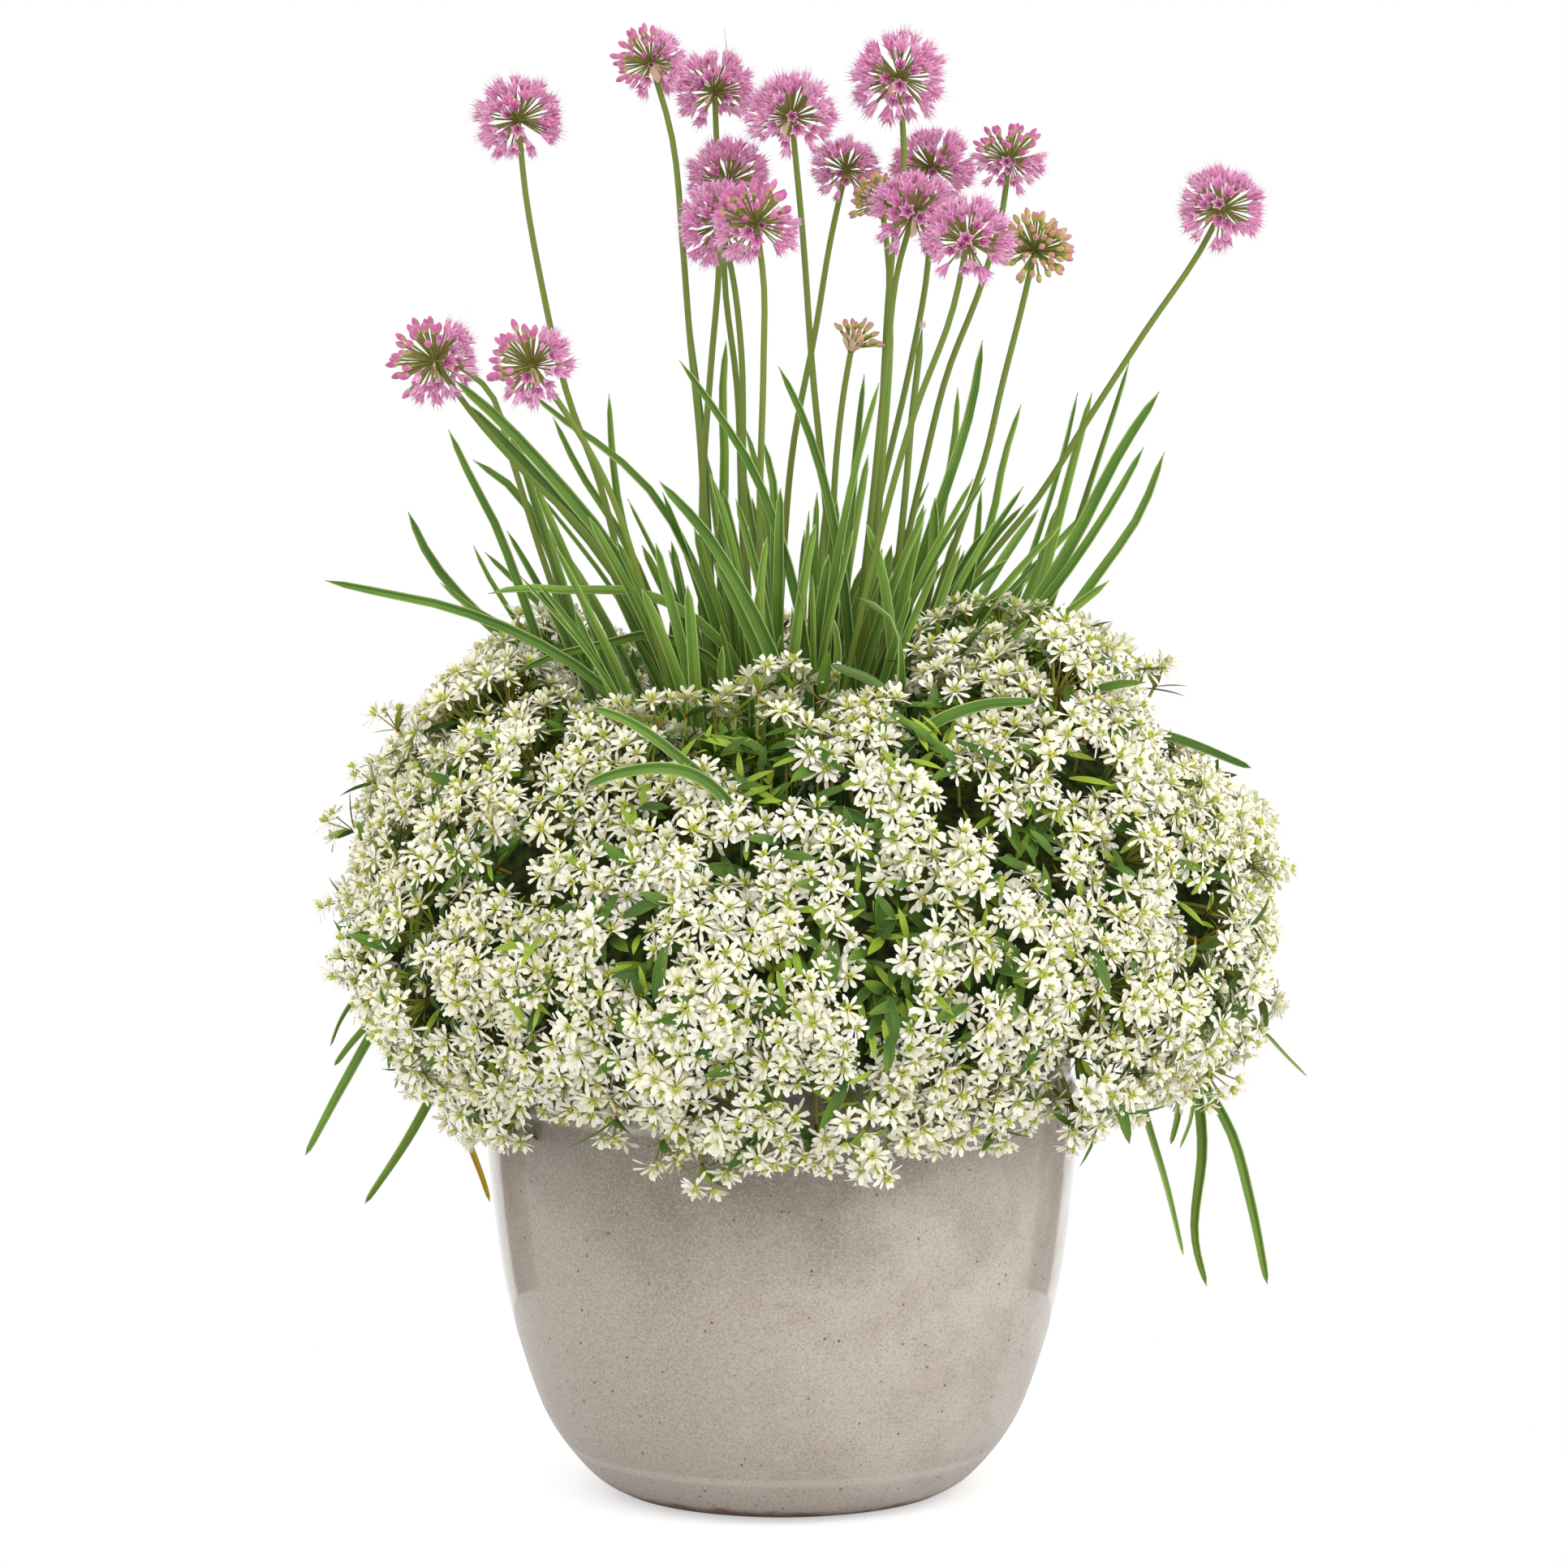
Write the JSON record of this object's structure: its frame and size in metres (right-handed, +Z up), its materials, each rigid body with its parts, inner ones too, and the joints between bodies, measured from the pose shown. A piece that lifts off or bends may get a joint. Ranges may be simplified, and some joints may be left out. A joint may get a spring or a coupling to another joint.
{
  "type": "potted ornamental onion",
  "caption": "Round purple flower heads on bare stalks over strap leaves, edged with a mound of white-bracted spurge, in a glazed stoneware bowl pot.",
  "frame": {"origin": "middle of the pot's underside", "axes": "+Z up along the pot's axis, -Y to the front that the picture shows, +X to the right of that view"},
  "size_m": [0.5461, 0.4947, 0.793],
  "materials": {
    "glazed_stoneware": "mottled grey-brown gloss glaze, bare brown foot edge",
    "soil": "dark crumbly potting soil of composted bark and peat",
    "onion_flower": "soft matt petals, mauve pink, on green stalks",
    "onion_leaf": "satin green strap leaf",
    "spurge": "soft matt cream-white bracts over green leaves"
  },
  "bodies": {
    "root": {"pot": "glazed_stoneware", "potting_soil": "soil", "onion_flower_01": "onion_flower", "onion_flower_02": "onion_flower", "onion_flower_03": "onion_flower", "onion_flower_04": "onion_flower", "onion_flower_05": "onion_flower", "onion_flower_06": "onion_flower", "onion_flower_07": "onion_flower", "onion_flower_08": "onion_flower", "onion_flower_09": "onion_flower", "onion_flower_10": "onion_flower", "onion_flower_11": "onion_flower", "onion_flower_12": "onion_flower", "onion_flower_13": "onion_flower", "onion_flower_14": "onion_flower", "onion_flower_15": "onion_flower", "onion_flower_16": "onion_flower", "onion_flower_17": "onion_flower", "onion_flower_18": "onion_flower", "onion_flower_19": "onion_flower", "onion_flower_20": "onion_flower", "onion_plant_1": "onion_leaf", "onion_plant_2": "onion_leaf", "onion_plant_3": "onion_leaf", "onion_plant_4": "onion_leaf", "onion_plant_5": "onion_leaf", "onion_plant_6": "onion_leaf", "onion_plant_7": "onion_leaf", "onion_plant_8": "onion_leaf", "onion_plant_9": "onion_leaf", "onion_plant_10": "onion_leaf", "spurge_spray_01": "spurge", "spurge_spray_02": "spurge", "spurge_spray_03": "spurge", "spurge_spray_04": "spurge", "spurge_spray_05": "spurge", "spurge_spray_06": "spurge", "spurge_spray_07": "spurge", "spurge_spray_08": "spurge", "spurge_spray_09": "spurge", "spurge_spray_10": "spurge", "spurge_spray_11": "spurge", "spurge_spray_12": "spurge"}
  },
  "joints": []
}
